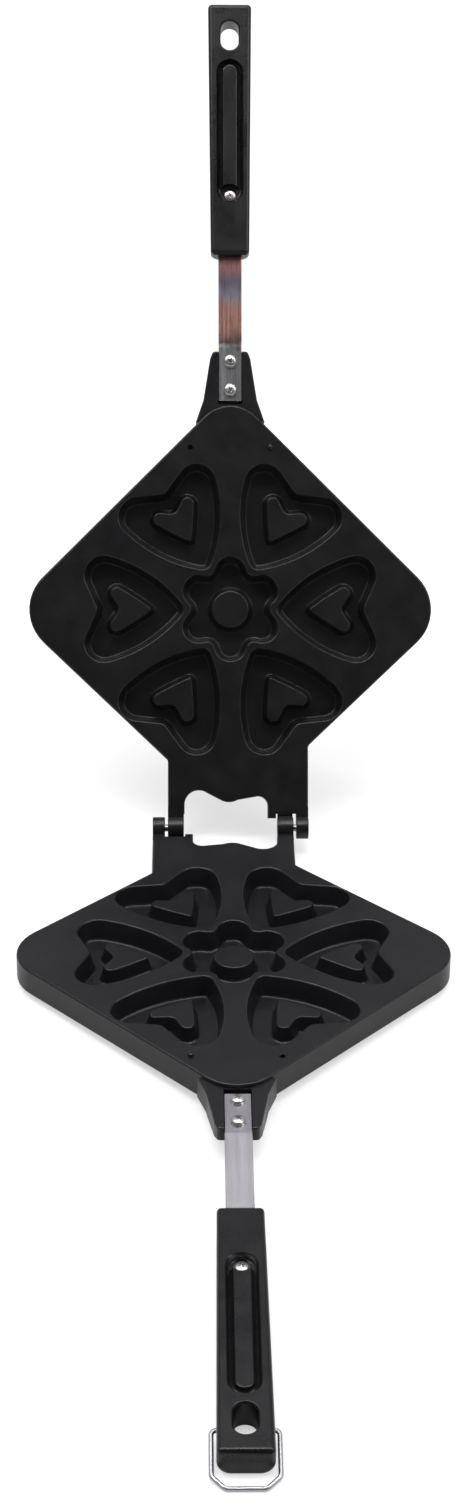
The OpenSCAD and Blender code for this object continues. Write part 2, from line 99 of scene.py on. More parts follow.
# Scallops of the cut-out's edge: centre, radius, start angle, end angle, number of steps
SCALLOPS = [(INNER_X - 8.7, -CUTOUT + 1.4, 8.3, 0, -125, 12),
            (0.7, -CUTOUT - 10, 10, 60, 120, 8),
            (11 - INNER_X, -CUTOUT + 2.3, 5.7, 270, 180, 8)]
SHOULDER_X = -26.3
SHOULDER_W = 4.6
SHOULDER_Y = 5.6

# Boss that carries the tang. Its side is listed as half width, distance out, corner radius.
TANG_Y = 248.451
BOSS_Y = 277.451
BOSS_SIDE = [(10.1, BOSS_Y, 2.2), (11.8, 273, 4), (15.6, 249, 8), (20, FRONT_Y - 18, 0)]
BOSS_SINK = 2
BOSS_EDGE = 1
BOSS_END_T = 7.1
BOSS_ROOT_IN = 6
BOSS_ROOT_GAP = 0.2
TANG_SIDE_GAP = 0.2
TANG_BACK_GAP = 2.2

# Moulds, each from its rim down to its floor and up its raised middle
MOULD_Y = 126.967
DEPTH = 11.5
RIM_R = 0.9
DRAFT = 2.2
FLOOR_R = 1.7
CORE_DRAFT = 1.5
CORE_RIM_R = 0.9
CORE_TOP = 3.2
CUP_WALL = 1.4
# Lobe centre, lobe radius, side radius, distance to the tip, tip radius, valley depth, valley radius
HEART = ((73.217, 19.618), 11.1, 80.0, 27.4, 5.0, 7.2, 5.0)
RAISED_HEART = ((65.853, 9.255), 3.9, 200.0, 46.0, 1.5, 4.7, 4.0)
PETAL_RING = 21.2
PETAL_R = 9.0
PETAL_NOTCH = 0.55
RAISED_ROUND_R = 10.8

# Underside, and the pin and hole that line the plates up
BACK_WEB = 7
INNER_EDGE = 1.2
MOUTH_W = 0.5
MOUTH_H = 0.6
FRONT_PAD_R = 20
FRONT_PAD_IN = 8
LOCATOR_X = 23.2
LOCATOR_Y = 220.969
LOCATOR_POST_R = 4.9
LOCATOR_PIN = [(1.4, -1), (1.4, 1.2), (1.25, 1.6), (0.9, 1.85), (0.3, 1.95)]
LOCATOR_HOLE = [(1.6, -2.8), (1.6, -0.3), (1.95, 0)]

# Tang. The radii are those of its side's corners, out along the top and back along the underside,
# and the inside and kink are measured from the handle's inner end.
TANG_W = 13.6
TANG_T = 2.5
TANG_D = 3.0
TANG_ANGLE = 6
TANG_BEND = 2.5
TANG_KINK = 5
TANG_INSIDE = 52
TANG_RADII = [0.5, 14, 20, 0.3, 0.3, 14, 20, 0.5]
TANG_EDGE = 0.5
TANG_HOLE_R = 2.1
TANG_HOLE_D = 9
KINK_D = 8.22368

# Screws and washers. The tang's screws are listed by their distance out from TANG_Y,
# and a screw's head is listed as (radius, height over its seat).
SCREWS = (6.3, 23.1)
SCREW_HOLE_R = 1.95
SCREW_R = 1.9
SCREW_HEAD = [(3.2, 0), (3.4, 0.2), (3.4, 0.7), (3.25, 1.1), (2.9, 1.45), (2.3, 1.7), (1.5, 1.85),
              (0.6, 1.9)]
TANG_SCREW_LEN = 6.7
GRIP_SCREW_LEN = TANG_T + 5
# Half length, half width and height of a cross recess arm at its floor and over the head
CROSS_FLOOR = (1.1, 0.3, 0.7)
CROSS_MOUTH = (1.9, 0.5, 2.2)
CROSS_TURN = 25
WASHER_T = 0.8
WASHER_SECTION = [(2.12, 0.1), (2.2, 0), (3.7, 0), (3.8, 0.1), (3.8, 0.7), (3.7, 0.8), (2.2, 0.8),
                  (2.12, 0.7)]
WASHER_SPLIT = 16
WASHER_SLANT = 0.05

# Handle. All but its place and angle are in its own frame, which has the origin in the middle of
# the top at the inner end. Each profile lists (inset, height) pairs.
HANDLE_Y = 334.651
HANDLE_D = 3.5
HANDLE_ANGLE = 3.24
HANDLE_LEN = 150.5
HANDLE_T = 15.0
GRIP_W = 22.5
GRIP_FLARE = 2.9
GRIP_TOP_R = 2.2
GRIP_UNDER_R = 6.5
GRIP_EDGE = 2.4
SOCKET_D = 4.99872
SOCKET_LEN = 52.5
SOCKET_GAP = 0.1
HANDLE_SCREW = 36.0
WELL_R = 4.0
WELL_MOUTH_R = 4.5
WELL_MOUTH = 2.4
SHANK_FLOOR = 2
RECESS_W = 15.1
RECESS_AT = 31.3
RECESS_LEN = 86
RECESS_PROFILE = [(-0.45, 2), (-0.45, 0), (-0.3, -0.15), (0, -0.45), (0.1, -1.7), (0.4, -2.5),
                  (0.9, -3.1), (1.6, -3.4)]
RIB_W = 8.8
RIB_END_GAP = 3.1
RIB_FOOT = [(-1.5, -4.2), (-1.5, -3.4), (-0.8, -3.0), (-0.3, -2.4), (-0.05, -1.7)]
RIB_TOP = -0.4
RIB_SHOULDER = 1.0
RIB_CUT_R = 6.2
RIB_CUT_D = 6
EYE_W = 10.8
EYE_LEN = 17.5
EYE_END = 10.3
EYE_RIM = [(-1.0, 0), (-0.5, -0.3), (0, -1)]

# Bail. It enters the handle BAIL_AT out and BAIL_DEEP down. Its pivot is the same place as distance
# out and depth in the frame of the half, and BAIL_DROP is the angle that it hangs below level.
BAIL_AT = 130.3
BAIL_DEEP = 9.4
BAIL_REACH = 29.0
BAIL_BEVEL = 6.0
BAIL_HALF = 14.8
BAIL_PIVOT = (464.212, 20.2493)
BAIL_DROP = 9.90455
BAIL_IN = 5.1
BAIL_HOLE_IN = 5.5
BAIL_SHOULDER_R = 2.2
BAIL_CORNER_R = 3.0
WIRE_R = 1.1
WIRE_GAP = 0.06

# How far a cutter reaches past what it cuts
OVER = 1


def turn(angle, axis):
    return Matrix.Rotation(math.radians(angle), 4, axis)


def shift(x, y, z):
    return Matrix.Translation((x, y, z))


STAND = shift(0, HINGE_Y, HINGE_Z) @ turn(-STANCE, "X")
LOWER = STAND
UPPER = STAND @ turn(-OPEN_ANGLE, "X") @ turn(180, "Y")
ON_HANDLE = shift(0, -HANDLE_Y, -HANDLE_D) @ turn(HANDLE_ANGLE, "X")
BAIL = STAND @ shift(0, -BAIL_PIVOT[0], -BAIL_PIVOT[1]) @ turn(STANCE + BAIL_DROP, "X")


# Outlines


def arc(cx, cy, r, a, b, n):
    """Points on a circle from angle a to angle b, in degrees."""
    out = []
    for i in range(n + 1):
        t = math.radians(a + (b - a) * i / n)
        out.append((cx + r * math.cos(t), cy + r * math.sin(t)))
    return out


def fillet(before, corner, after, r):
    """Centre, start angle and sweep of the arc of radius r that rounds a corner."""
    b = Vector(corner)
    u = (Vector(before) - b).normalized()
    v = (Vector(after) - b).normalized()
    half = math.acos(max(-1, min(1, u.dot(v)))) / 2
    m = b + (u + v).normalized() * (r / math.sin(half))
    p = b + u * (r / math.tan(half)) - m
    q = b + v * (r / math.tan(half)) - m
    start = math.degrees(math.atan2(p.y, p.x))
    sweep = (math.degrees(math.atan2(q.y, q.x)) - start + 180) % 360 - 180
    return m, start, sweep


def rounded(corners, step=9.0):
    """Outline through (x, y, radius) corners, each rounded by an arc of its radius."""
    out = []
    for i, (x, y, r) in enumerate(corners):
        if r <= 0:
            out.append((x, y))
            continue
        m, start, sweep = fillet(corners[i - 1][:2], (x, y), corners[(i + 1) % len(corners)][:2], r)
        out += arc(m.x, m.y, r, start, start + sweep, max(2, math.ceil(abs(sweep) / step)))
    return out


def inset(points, d):
    """The outline moved in by d, or out when d is negative. The outline runs anticlockwise."""
    out = []
    for i in range(len(points)):
        p = Vector(points[i])
        e = p - Vector(points[i - 1])
        f = Vector(points[(i + 1) % len(points)]) - p
        a = Vector((-e.y, e.x)).normalized()
        b = Vector((-f.y, f.x)).normalized()
        out.append(tuple(p + (a + b) * (d / (1 + a.dot(b)))))
    return out


def heart(shape, d):
    """Heart outline with its tip towards the origin, moved in by d."""
    (lx, ly), r, bulge, tip_at, tip_r, valley, notch_r = shape
    lobe = Vector((lx, ly))
    tip = Vector((tip_at + tip_r, 0))
    notch = Vector((lx + r - valley + notch_r, 0))
    span = lobe - tip
    unit = span.normalized()
    length = span.length
    along = ((bulge - tip_r) ** 2 - (bulge - r) ** 2 + length ** 2) / 2 / length
    across = math.sqrt((bulge - tip_r) ** 2 - along ** 2)
    mid = tip + along * unit + across * Vector((unit.y, -unit.x))
    at_lobe = math.degrees(math.atan2(ly - mid.y, lx - mid.x))
    at_tip = math.degrees(math.atan2(tip.y - mid.y, tip.x - mid.x))
    drop = notch - lobe
    meet = math.degrees(math.atan2(drop.y, drop.x) + math.acos((r + notch_r) / drop.length))
    return (
        arc(tip.x, 0, tip_r - d, at_tip, 360 - at_tip, 10)
        + arc(mid.x, -mid.y, bulge - d, -at_tip, -at_lobe, 12)[1:-1]
        + arc(lx, -ly, r - d, -at_lobe, -meet, 18)
        + arc(notch.x, 0, notch_r + d, 180 - meet, 180 + meet, 10)
        + arc(lx, ly, r - d, meet, at_lobe, 18)
        + arc(mid.x, mid.y, bulge - d, at_lobe, at_tip, 12)[1:-1]
    )


def flower(d):
    """Outline of the six-petalled flower, moved in by d."""
    notch = PETAL_R * PETAL_NOTCH
    petal_out = PETAL_RING * math.cos(math.radians(30))
    out = petal_out + math.sqrt((PETAL_R + notch) ** 2 - PETAL_RING * PETAL_RING / 4)
    meet = math.degrees(math.atan2(PETAL_RING / 2, out - petal_out))
    points = []
    for k in range(6):
        at = 60 * k
        t = math.radians(at)
        u = math.radians(at + 30)
        points += arc(out * math.cos(t), out * math.sin(t), notch + d,
                      at + 180 + meet, at + 180 - meet, 8)[1:-1]
        points += arc(PETAL_RING * math.cos(u), PETAL_RING * math.sin(u), PETAL_R - d,
                      at - meet, at + 60 + meet, 18)
    return points


def bend(z, d, r, start, stop, n=5):
    """Points (inset, height) on an edge rounding of radius r about (d, z)."""
    return arc(d, z, r, start, stop, n)


# Solids


def made(name, bm):
    """An object with the faces of bm, all turned outward."""
    bmesh.ops.recalc_face_normals(bm, faces=bm.faces)
    mesh = bpy.data.meshes.new(name)
    bm.to_mesh(mesh)
    bm.free()
    obj = bpy.data.objects.new(name, mesh)
    bpy.context.scene.collection.objects.link(obj)
    return obj


def stacked(rings):
    """Solid skinned over rings of equally many 3-D points, capped at both ends."""
    bm = bmesh.new()
    loops = [[bm.verts.new(p) for p in ring] for ring in rings]
    n = len(loops[0])
    for a, b in zip(loops, loops[1:]):
        for i in range(n):
            j = (i + 1) % n
            bm.faces.new((a[i], a[j], b[j], b[i]))
    bm.faces.new(loops[0][::-1])
    bm.faces.new(loops[-1])
    return made("solid", bm)


def layered(outline, profile):
    """Solid whose outline(d) is stacked through (d, z) pairs."""
    return stacked([[(x, y, z) for x, y in outline(d)] for d, z in profile])


def turned(profile, n=48):
    """Solid of revolution about Z from (radius, z) pairs that start and end off the axis."""
    return stacked([[(r * math.cos(math.tau * i / n), r * math.sin(math.tau * i / n), z) for i in range(n)]
                    for r, z in profile])


def peg(r, low, high, n=32):
    """Round bar about Z."""
    return turned([(r, low), (r, high)], n)


def block(x0, x1, y0, y1, z0, z1):
    return stacked([[(x0, y0, z), (x1, y0, z), (x1, y1, z), (x0, y1, z)] for z in (z0, z1)])


def moved(obj, matrix):
    obj.data.transform(matrix)
    return obj


def in_triangles(mesh):
    bm = bmesh.new()
    bm.from_mesh(mesh)
    bmesh.ops.triangulate(bm, faces=bm.faces)
    bm.to_mesh(mesh)
    bm.free()


def applied(obj):
    """The object with its modifiers made part of its mesh."""
    bpy.context.view_layer.update()
    mesh = bpy.data.meshes.new_from_object(obj.evaluated_get(bpy.context.evaluated_depsgraph_get()))
    obj.modifiers.clear()
    obj.data = mesh
    return obj


def combined(obj, others, how):
    """Boolean of obj with each of the others, which are used up."""
    for other in others:
        in_triangles(obj.data)
        mod = obj.modifiers.new("boolean", "BOOLEAN")
        mod.operation = how
        mod.object = other
        mod.solver = "MANIFOLD"
        applied(obj)
        bpy.data.objects.remove(other)
    return obj


def joined(objs):
    """One object from several solids that don't touch."""
    bm = bmesh.new()
    for o in objs:
        bm.from_mesh(o.data)
        bpy.data.objects.remove(o)
    mesh = bpy.data.meshes.new("solids")
    bm.to_mesh(mesh)
    bm.free()
    obj = bpy.data.objects.new("solids", mesh)
    bpy.context.scene.collection.objects.link(obj)
    return obj


def finished(obj, name, material, sharp):
    """Shades the piece smooth, with hard edges where faces meet at more than the sharp angle."""
    weld = 0.002
    bm = bmesh.new()
    bm.from_mesh(obj.data)
    bmesh.ops.remove_doubles(bm, verts=bm.verts, dist=weld)
    bmesh.ops.dissolve_degenerate(bm, edges=bm.edges, dist=weld)
    for f in bm.faces:
        f.smooth = True
    for e in bm.edges:
        e.smooth = len(e.link_faces) == 2 and e.calc_face_angle(0) < math.radians(sharp)
    bm.to_mesh(obj.data)
    bm.free()
    mod = obj.modifiers.new("flat faces first", "WEIGHTED_NORMAL")
    mod.keep_sharp = True
    mod.weight = 80
    mesh = applied(obj).data
    mesh.materials.clear()
    mesh.materials.append(material)
    mesh.name = obj.name = name


def placed(obj, name, material, matrix, body, nodes, sharp=32.0):
    """Puts a finished copy of obj where it belongs, in place of the CAD nodes it stands for."""
    copy = bpy.data.objects.new(name, obj.data.copy())
    bpy.context.scene.collection.objects.link(copy)
    finished(copy, name, material, sharp)
    copy.data.transform(Matrix.Diagonal((MM, MM, MM, 1)) @ matrix)
    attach(copy, body)
    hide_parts(*nodes)


# Casting


def plate_corners(block_left, block_right):
    """Corners of the plate with its hinge block, anticlockwise, cut-out not included."""
    return [
        (block_left, -NECK - NECK_SLOPE * -block_left, NECK_R),
        (-SIDE_X, -SIDE_Y, SIDE_R),
        (0, -FRONT_Y, FRONT_R),
        (SIDE_X, -SIDE_Y, SIDE_R),
        (block_right, -NECK - NECK_SLOPE * block_right, NECK_R),
    ]


def plate_outline():
    """Outline of the plate with its hinge block and the scalloped cut-out between the barrels."""
    around = ([(-OUTER_END, -STOP_WALL, 0)] + plate_corners(-OUTER_END, INNER_END)
              + [(INNER_END, -STOP_WALL, 0)])
    points = rounded(around)[1:-1] + [(INNER_END, -STOP_WALL), (CUTOUT_END_X, -STOP_WALL)]
    for scallop in SCALLOPS:
        points += arc(*scallop)
    return points + [(SHOULDER_X + SHOULDER_W, -SHOULDER_Y), (SHOULDER_X, -SHOULDER_Y),
                     (SHOULDER_X, -STOP_WALL), (-OUTER_END, -STOP_WALL)]


def boss():
    """Boss at the front corner, with its underside sloping up to its end."""
    right = [(x, -y, r) for x, y, r in BOSS_SIDE]
    left = [(-x, y, r) for x, y, r in right]
    side = left[:1] + right + left[:0:-1]
    top = DECK - BOSS_SINK
    body = layered(lambda d: inset(rounded(side), d),
                   bend(top - BOSS_EDGE, BOSS_EDGE, BOSS_EDGE, 90, 180, 4)
                   + bend(FOOT_EDGE - PLATE_T, FOOT_EDGE, FOOT_EDGE, 180, 270, 3))
    end = -BOSS_Y - 2 * OVER
    root = -FRONT_Y + BOSS_ROOT_IN
    below = -PLATE_T - 6 * OVER
    slope = [(end, top - BOSS_END_T), (root, -PLATE_T - BOSS_ROOT_GAP), (root, below), (end, below)]
    half_wedge = 2 * BOSS_SIDE[-1][0]
    wedge = stacked([[(x, y, z) for y, z in slope] for x in (-half_wedge, half_wedge)])
    return combined(body, [wedge], "DIFFERENCE")


def barrel(x, length):
    e = BARREL_EDGE
    side = bend(e, BARREL_R - e, e, -90, 0, 3) + bend(length - e, BARREL_R - e, e, 0, 90, 3)
    return moved(turned(side), shift(x, 0, 0) @ turn(90, "Y"))


def stop_nose():
    """Nose that meets the other half's block as the iron stands open."""
    reach = STOP_WALL - STOP_GAP
    side = [(0, 0), (-reach, -NOSE_TOP), (-reach, -NOSE_FOOT), (0, -BARREL_R + STOP_GAP)]
    nose = stacked([[(x, y, z) for y, z in side] for x in (0, INNER_END - INNER_X - 2 * NOSE_GAP)])
    return moved(nose, turn(-OPEN_ANGLE, "X") @ turn(180, "Y") @ shift(NOSE_GAP - INNER_END, 0, 0))


def moulds():
    """What is cut out of the deck: six hearts and the flower, with rounded rims and floors."""
    bottom = DECK - DEPTH + FLOOR_R
    core_top = DECK - CORE_TOP - CORE_RIM_R
    walls = [(-RIM_R, 2 * OVER)]
    for t in map(math.radians, (0, 22, 45, 68, 90)):
        walls.append((-RIM_R + RIM_R * math.sin(t), DECK - RIM_R + RIM_R * math.cos(t)))
    for t in map(math.radians, (8, 25, 45, 65, 90)):
        walls.append((DRAFT + FLOOR_R - FLOOR_R * math.cos(t), bottom - FLOOR_R * math.sin(t)))
    core = []
    for t in map(math.radians, (0, 25, 45, 65, 82)):
        core.append((-CORE_DRAFT - FLOOR_R + FLOOR_R * math.sin(t), bottom - FLOOR_R * math.cos(t)))
    for t in map(math.radians, (8, 30, 52, 72, 90)):
        core.append((CORE_RIM_R - CORE_RIM_R * math.cos(t), core_top + CORE_RIM_R * math.sin(t)))

    solids = []
    for k in range(6):
        rings = [[(x, y, z) for x, y in heart(HEART, d)] for d, z in walls]
        rings += [[(x, y, z) for x, y in heart(RAISED_HEART, d)] for d, z in core]
        solids.append(moved(stacked(rings), shift(0, -MOULD_Y, 0) @ turn(60 * k, "Z")))
    rings = [[(x, y, z) for x, y in flower(d)] for d, z in walls]
    for d, z in core:
        r = RAISED_ROUND_R - d
        rings.append([(x * r / math.hypot(x, y), y * r / math.hypot(x, y), z) for x, y in flower(0)])
    solids.append(moved(stacked(rings), shift(0, -MOULD_Y, 0)))
    return joined(solids)


def underside():
    """Space under the deck, round the undersides of the moulds."""
    rear = -CUTOUT - BACK_WEB - WALL
    inner = rounded([(-OUTER_END, rear, 0)] + plate_corners(-OUTER_END, INNER_END) + [(INNER_END, rear, 0)])
    e = INNER_EDGE
    side = [(WALL - MOUTH_W, -PLATE_T - OVER), (WALL - MOUTH_W, -PLATE_T), (WALL, -PLATE_T + MOUTH_H)]
    side += [(WALL + e - e * math.cos(t), DECK - WALL - e + e * math.sin(t))
             for t in map(math.radians, (0, 30, 60, 90))]
    foot = -PLATE_T - 2 * OVER
    cup = [(-CUP_WALL, foot), (-CUP_WALL, 0)]
    posts = [moved(layered(lambda d: heart(HEART, d), cup), shift(0, -MOULD_Y, 0) @ turn(60 * k, "Z"))
             for k in range(6)]
    posts.append(moved(layered(flower, cup), shift(0, -MOULD_Y, 0)))
    posts.append(moved(peg(FRONT_PAD_R, foot, 0, 64), shift(0, -FRONT_Y + FRONT_PAD_IN, 0)))
    posts += [moved(peg(LOCATOR_POST_R, foot, 0), shift(x, -LOCATOR_Y, 0)) for x in (-LOCATOR_X, LOCATOR_X)]
    return combined(layered(lambda d: inset(inner, d), side), posts, "DIFFERENCE")


def casting():
    """One plate with its moulds, hinge barrels, stop nose and boss. Both halves use it."""
    outline = plate_outline()
    body = layered(lambda d: inset(outline, d),
                   bend(DECK - DECK_EDGE, DECK_EDGE, DECK_EDGE, 90, 180)
                   + bend(FOOT_EDGE - PLATE_T, FOOT_EDGE, FOOT_EDGE, 180, 270, 3))
    outer_w = OUTER_END - OUTER_START
    inner_w = INNER_END - INNER_X
    arms = [block(x, x + w, -STOP_WALL - ARM_ROOT, 0, -BARREL_R, DECK)
            for x, w in ((-OUTER_END, outer_w), (INNER_X, inner_w))]
    locator = moved(turned(LOCATOR_PIN, 24), shift(-LOCATOR_X, -LOCATOR_Y, DECK))
    body = combined(body, [boss(), barrel(-OUTER_END, outer_w), barrel(INNER_X, inner_w), *arms,
                           stop_nose(), locator], "UNION")
    body = combined(body, [moulds()], "DIFFERENCE")

    half_slot = TANG_W / 2 + TANG_SIDE_GAP
    slot = block(-half_slot, half_slot, -BOSS_Y - OVER, -TANG_Y + TANG_BACK_GAP, -TANG_D - TANG_T, 2 * OVER)
    holes = [moved(peg(SCREW_HOLE_R, -PLATE_T - OVER, OVER), shift(0, -TANG_Y - s, 0)) for s in SCREWS]
    locator_hole = [(r, DECK + z) for r, z in LOCATOR_HOLE] + [(LOCATOR_HOLE[-1][0], 2 * OVER)]
    holes.append(moved(turned(locator_hole, 32), shift(LOCATOR_X, -LOCATOR_Y, 0)))
    holes += [moved(peg(r, 0, w + 2 * OVER), shift(x - OVER, 0, 0) @ turn(90, "Y"))
              for x, w, r in ((-OUTER_END, outer_w, OUTER_BORE_R), (INNER_X, inner_w, INNER_BORE_R))]
    return combined(body, [underside(), slot, *holes], "DIFFERENCE")


# Handle, tang and small parts


def handle_width(at):
    return GRIP_W + GRIP_FLARE * at / HANDLE_LEN


def slot_outline(w, start, length):
    """Outline of a slot along -Y with round ends."""
    r = w / 2
    return arc(0, -start - r, r, 0, 180, 20) + arc(0, -start - length + r, r, 180, 360, 20)


def handle_body():
    """Handle without its holes, flat on top and well rounded below."""
    def section(at, d):
        w = handle_width(at) / 2
        outline = rounded([(-w, 0, GRIP_TOP_R), (-w, -HANDLE_T, GRIP_UNDER_R), (w, -HANDLE_T, GRIP_UNDER_R),
                           (w, 0, GRIP_TOP_R)], 7)
        return [(x, -at, z) for x, z in inset(outline, d)]

    e = GRIP_EDGE
    rings = [section(e - e * math.sin(t), e - e * math.cos(t))
             for t in map(math.radians, (90, 65, 40, 20, 0))]
    rings += [section(at, 0) for at in (30, 60, 90, 120)]
    rings += [section(HANDLE_LEN - e + e * math.sin(t), e - e * math.cos(t))
              for t in map(math.radians, (0, 20, 40, 65, 90))]
    return stacked(rings)


def handle(bail_holes):
    long_slot = slot_outline(RECESS_W, RECESS_AT, RECESS_LEN)
    recess = layered(lambda d: inset(long_slot, d), RECESS_PROFILE)
    eye = slot_outline(EYE_W, HANDLE_LEN - EYE_END - EYE_LEN, EYE_LEN)
    rim = EYE_RIM[0][0]
    low_rim = [(d, -HANDLE_T - z) for d, z in EYE_RIM[::-1]]
    through = layered(lambda d: inset(eye, d),
                      [(rim, OVER)] + EYE_RIM + low_rim + [(rim, -HANDLE_T - OVER)])
    at_screw = shift(0, -HANDLE_SCREW, 0)
    well = moved(turned([(WELL_R, -SOCKET_D - OVER), (WELL_R, WELL_R - WELL_MOUTH_R - WELL_MOUTH),
                         (WELL_MOUTH_R, -WELL_MOUTH), (WELL_MOUTH_R, OVER)], 40), at_screw)
    shank = moved(peg(SCREW_HOLE_R, -HANDLE_T + SHANK_FLOOR, 0), at_screw)
    half_socket = TANG_W / 2 + TANG_SIDE_GAP
    socket = block(-half_socket, half_socket, -SOCKET_LEN, OVER,
                   -SOCKET_D - TANG_T - SOCKET_GAP, -SOCKET_D + SOCKET_GAP)
    body = combined(handle_body(), [recess, through, well, shank, socket], "DIFFERENCE")
    if bail_holes:
        holes = []
        for side in (-1, 1):
            at_end = shift(side * handle_width(BAIL_AT) / 2, -BAIL_AT, -BAIL_DEEP) @ turn(90 * side, "Y")
            holes.append(moved(peg(WIRE_R + WIRE_GAP, -BAIL_HOLE_IN, 3 * OVER, 24), at_end))
        body = combined(body, holes, "DIFFERENCE")

    # Flat rib with rounded shoulders, standing in the recess and cut off round the screw's well
    rib_len = RECESS_AT + RECESS_LEN - HANDLE_SCREW - RIB_END_GAP
    rib_outline = slot_outline(RIB_W, HANDLE_SCREW, rib_len)
    rib = layered(lambda d: inset(rib_outline, d),
                  RIB_FOOT + bend(RIB_TOP - RIB_SHOULDER, RIB_SHOULDER, RIB_SHOULDER, 180, 90, 6))
    rib = combined(rib, [moved(peg(RIB_CUT_R, -RIB_CUT_D, OVER, 48), at_screw)], "DIFFERENCE")
    return combined(body, [rib], "UNION")


def tang():
    """Strip bent down from the boss and up again into the handle."""
    a = math.radians(TANG_ANGLE)
    b = math.radians(HANDLE_ANGLE)
    top = [(TANG_Y, TANG_D), (BOSS_Y + TANG_BEND, TANG_D), (HANDLE_Y - TANG_KINK, KINK_D),
           (HANDLE_Y + TANG_INSIDE * math.cos(b) - SOCKET_D * math.sin(b),
            HANDLE_D + TANG_INSIDE * math.sin(b) + SOCKET_D * math.cos(b))]
    low = [(top[0][0], top[0][1] + TANG_T),
           (top[1][0] - TANG_T * math.tan(a / 2), top[1][1] + TANG_T),
           (top[2][0] - TANG_T * math.tan((a + b) / 2), top[2][1] + TANG_T),
           (top[3][0] - TANG_T * math.sin(b), top[3][1] + TANG_T * math.cos(b))]
    corners = [(-y, -z) for y, z in top + low[::-1]]
    side = rounded([(*p, r) for p, r in zip(corners, TANG_RADII)], 3)
    w = TANG_W / 2
    e = TANG_EDGE
    profile = [(e - e * math.cos(t), -w + e - e * math.sin(t)) for t in map(math.radians, (90, 60, 30, 0))]
    profile += [(d, -x) for d, x in profile[::-1]]
    body = stacked([[(x, y, z) for y, z in inset(side, d)] for d, x in profile])
    holes = [moved(peg(TANG_HOLE_R, -TANG_HOLE_D, 0, 24), shift(0, -TANG_Y - s, 0)) for s in SCREWS]
    return combined(body, holes, "DIFFERENCE")


def screw(shank):
    """Pan-head screw, its head's seat at the origin, with a cross recess."""
    body = turned([(SCREW_R, -shank), (SCREW_R, 0)] + SCREW_HEAD)
    arms = [moved(stacked([[(-x, -y, z), (x, -y, z), (x, y, z), (-x, y, z)]
                           for x, y, z in (CROSS_FLOOR, CROSS_MOUTH)]), turn(a + CROSS_TURN, "Z"))
            for a in (0, 90)]
    return combined(body, arms, "DIFFERENCE")


def spring_washer():
    """Washer with the sloping split of a spring washer."""
    n = 48
    rings = []
    for i in range(n + 1):
        t = math.radians(WASHER_SPLIT / 2 + (360 - WASHER_SPLIT) * i / n)
        ring = []
        for r, z in WASHER_SECTION:
            s = t + WASHER_SLANT * (z - WASHER_T / 2)
            ring.append((r * math.cos(s), r * math.sin(s), z))
        rings.append(ring)
    return stacked(rings)


def bail():
    """Wire loop with its two ends turned in towards each other."""
    inside = handle_width(BAIL_AT) / 2 - BAIL_IN
    path = [(inside, 0, 0), (BAIL_HALF, 0, BAIL_SHOULDER_R),
            (BAIL_HALF, -BAIL_REACH + BAIL_BEVEL, BAIL_CORNER_R),
            (BAIL_HALF - BAIL_BEVEL, -BAIL_REACH, BAIL_CORNER_R)]
    path = [(-x, y, r) for x, y, r in path] + path[::-1]
    centre = [Vector(path[0][:2])]
    for i in range(1, len(path) - 1):
        x, y, r = path[i]
        m, start, sweep = fillet(path[i - 1][:2], (x, y), path[i + 1][:2], r)
        centre += [Vector(c) for c in arc(m.x, m.y, r, start, start + sweep, 8)]
    centre.append(Vector(path[-1][:2]))
    n = 20
    around = [math.tau * k / n for k in range(n)]
    rings = []
    for i, c in enumerate(centre):
        along = (centre[min(i + 1, len(centre) - 1)] - centre[max(i - 1, 0)]).normalized()
        across = Vector((-along.y, along.x))
        rings.append([(c.x + across.x * WIRE_R * math.cos(t), c.y + across.y * WIRE_R * math.cos(t),
                       WIRE_R * math.sin(t)) for t in around])
    return stacked(rings)


# Materials


def material(name, colour, rough, metallic=0.0, specular=0.5):
    mat = bpy.data.materials.new(name)
    mat.use_nodes = True
    nodes = mat.node_tree.nodes
    shader = nodes["Principled BSDF"]
    shader.inputs["Base Color"].default_value = (*colour, 1)
    shader.inputs["Roughness"].default_value = rough
    shader.inputs["Metallic"].default_value = metallic
    shader.inputs["Specular IOR Level"].default_value = specular
    return mat, nodes, mat.node_tree.links, shader


def noise(nodes, links, scale, detail=4, stretch=(1, 1, 1), rough=0.55):
    where = nodes.new("ShaderNodeTexCoord")
    shape = nodes.new("ShaderNodeMapping")
    shape.inputs["Scale"].default_value = stretch
    tex = nodes.new("ShaderNodeTexNoise")
    tex.inputs["Scale"].default_value = scale
    tex.inputs["Detail"].default_value = detail
    tex.inputs["Roughness"].default_value = rough
    links.new(where.outputs["Object"], shape.inputs["Vector"])
    links.new(shape.outputs["Vector"], tex.inputs["Vector"])
    return tex.outputs["Fac"]


def mapped(nodes, links, value, low, high, start=0.3, stop=0.7):
    """Value spread from low, where it is start or less, to high, where it is stop or more."""
    m = nodes.new("ShaderNodeMapRange")
    m.inputs["From Min"].default_value = start
    m.inputs["From Max"].default_value = stop
    m.inputs["To Min"].default_value = low
    m.inputs["To Max"].default_value = high
    links.new(value, m.inputs["Value"])
    return m.outputs["Result"]


def mixed(nodes, links, value, first, second, start=0.3, stop=0.7):
    """Colour that goes from first to second as value goes from start to stop."""
    ramp = nodes.new("ShaderNodeValToRGB")
    ramp.color_ramp.elements[0].position = start
    ramp.color_ramp.elements[1].position = stop
    ramp.color_ramp.elements[0].color = (*first, 1)
    ramp.color_ramp.elements[1].color = (*second, 1)
    links.new(value, ramp.inputs["Fac"])
    return ramp.outputs["Color"]


def bumped(nodes, links, shader, height, strength, distance):
    bump = nodes.new("ShaderNodeBump")
    bump.inputs["Strength"].default_value = strength
    bump.inputs["Distance"].default_value = distance
    links.new(height, bump.inputs["Height"])
    links.new(bump.outputs["Normal"], shader.inputs["Normal"])


